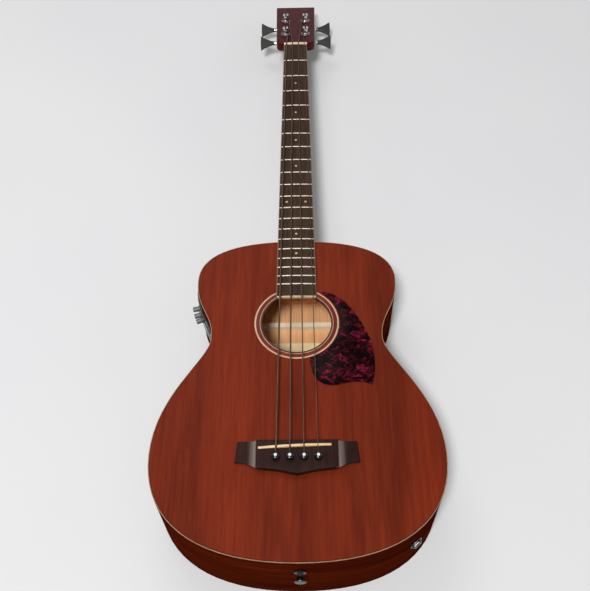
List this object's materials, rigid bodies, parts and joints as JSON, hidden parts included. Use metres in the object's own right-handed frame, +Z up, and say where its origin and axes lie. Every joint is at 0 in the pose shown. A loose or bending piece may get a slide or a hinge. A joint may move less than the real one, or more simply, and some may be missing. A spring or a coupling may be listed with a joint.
{
  "type": "acoustic bass guitar",
  "caption": "Fretted acoustic bass guitar with a hollow waisted body, round soundhole, glued bridge, geared tuning machines and a side-mounted preamp.",
  "frame": {"origin": "under the middle of the whole guitar, on the plane that its back lies on", "axes": "+Y along the neck to the headstock, +X to the treble side, +Z up out of the soundboard"},
  "size_m": [0.3876, 1.156, 0.1336],
  "materials": {
    "mahogany": "open-pore satin stain",
    "dark_mahogany": "satin stain",
    "spruce": "bare wood",
    "rosewood": "oiled, open grain",
    "cream_plastic": "polished",
    "pickguard_plastic": "mottled, polished",
    "black_plastic": "fine satin",
    "grey_plastic": "satin",
    "chrome": "polished",
    "bronze_wire": "round-wound wire"
  },
  "bodies": {
    "guitar": {"soundboard": "mahogany", "back_plate": "dark_mahogany", "treble_side": "dark_mahogany", "bass_side": "dark_mahogany", "top_binding": "cream_plastic", "back_binding": "cream_plastic", "neck_block": "spruce", "tail_block": "spruce", "treble_top_lining": "spruce", "bass_top_lining": "spruce", "treble_back_lining": "spruce", "bass_back_lining": "spruce", "top_bracing": "spruce", "upper_brace": "spruce", "bridge_plate": "rosewood", "rosette": "cream_plastic", "pickguard": "pickguard_plastic", "bridge": "rosewood", "saddle": "cream_plastic", "saddle_pickup": "chrome", "neck": "dark_mahogany", "truss_rod": "chrome", "fretboard": "rosewood", "nut": "cream_plastic", "back_brace_1": "spruce", "back_brace_2": "spruce", "back_brace_3": "spruce", "back_brace_4": "spruce", "bridge_pin_low_e": "black_plastic", "bridge_pin_a": "black_plastic", "bridge_pin_d": "black_plastic", "bridge_pin_g": "black_plastic", "end_pin": "chrome", "output_jack": "chrome", "preamp_case": "black_plastic", "tuner_plate_low_e": "chrome", "tuner_plate_a": "chrome", "tuner_plate_d": "chrome", "tuner_plate_g": "chrome", "string_low_e": "bronze_wire", "string_a": "bronze_wire", "string_d": "bronze_wire", "string_g": "bronze_wire"},
    "key_low_e": {"tuner_key_low_e": "chrome"},
    "post_low_e": {"tuner_post_low_e": "chrome", "string_winding_low_e": "bronze_wire"},
    "key_a": {"tuner_key_a": "chrome"},
    "post_a": {"tuner_post_a": "chrome", "string_winding_a": "bronze_wire"},
    "key_d": {"tuner_key_d": "chrome"},
    "post_d": {"tuner_post_d": "chrome", "string_winding_d": "bronze_wire"},
    "key_g": {"tuner_key_g": "chrome"},
    "post_g": {"tuner_post_g": "chrome", "string_winding_g": "bronze_wire"},
    "volume": {"volume_knob": "chrome"},
    "treble": {"treble_knob": "chrome"},
    "bass": {"bass_knob": "chrome"},
    "button": {"tuner_button": "grey_plastic"},
    "tray": {"battery_tray": "black_plastic"}
  },
  "joints": [
    {"name": "key_turn_low_e", "type": "hinge", "parent": "guitar", "child": "key_low_e", "pos_m": [-0.019, 0.46122, 0.04636], "axis": [1, 0, 0], "continuous": true},
    {"name": "post_turn_low_e", "type": "hinge", "parent": "guitar", "child": "post_low_e", "pos_m": [-0.019, 0.45363, 0.07353], "axis": [0, 0.2641, 0.9645], "continuous": true},
    {"name": "key_turn_a", "type": "hinge", "parent": "guitar", "child": "key_a", "pos_m": [-0.019, 0.52006, 0.03025], "axis": [1, 0, 0], "continuous": true},
    {"name": "post_turn_a", "type": "hinge", "parent": "guitar", "child": "post_a", "pos_m": [-0.019, 0.51246, 0.05742], "axis": [0, 0.2641, 0.9645], "continuous": true},
    {"name": "key_turn_d", "type": "hinge", "parent": "guitar", "child": "key_d", "pos_m": [0.019, 0.52006, 0.03025], "axis": [1, 0, 0], "continuous": true},
    {"name": "post_turn_d", "type": "hinge", "parent": "guitar", "child": "post_d", "pos_m": [0.019, 0.51246, 0.05742], "axis": [0, 0.2641, 0.9645], "continuous": true},
    {"name": "key_turn_g", "type": "hinge", "parent": "guitar", "child": "key_g", "pos_m": [0.019, 0.46122, 0.04636], "axis": [1, 0, 0], "continuous": true},
    {"name": "post_turn_g", "type": "hinge", "parent": "guitar", "child": "post_g", "pos_m": [0.019, 0.45363, 0.07353], "axis": [0, 0.2641, 0.9645], "continuous": true},
    {"name": "volume_turn", "type": "hinge", "parent": "guitar", "child": "volume", "pos_m": [-0.14529, -0.16842, 0.07096], "axis": [-0.9791, -0.2032, 0.0082], "range_deg": [-150, 150]},
    {"name": "treble_turn", "type": "hinge", "parent": "guitar", "child": "treble", "pos_m": [-0.14235, -0.17942, 0.0714], "axis": [-0.9503, -0.3111, 0.0126], "range_deg": [-150, 150]},
    {"name": "bass_turn", "type": "hinge", "parent": "guitar", "child": "bass", "pos_m": [-0.13909, -0.18812, 0.07176], "axis": [-0.9226, -0.3855, 0.0156], "range_deg": [-150, 150]},
    {"name": "button_press", "type": "slide", "parent": "guitar", "child": "button", "axis": [0.9854, 0.1701, -0.0069], "range_m": [0, 0.0012], "stiffness_N_per_m": 400},
    {"name": "tray_slide", "type": "slide", "parent": "guitar", "child": "tray", "axis": [-0.9136, -0.4064, 0.0164], "range_m": [0, 0.042]}
  ],
  "couplings": [
    {"joint": "post_turn_low_e", "follows": "key_turn_low_e", "ratio": -0.05},
    {"joint": "post_turn_a", "follows": "key_turn_a", "ratio": -0.05},
    {"joint": "post_turn_d", "follows": "key_turn_d", "ratio": 0.05},
    {"joint": "post_turn_g", "follows": "key_turn_g", "ratio": 0.05}
  ]
}
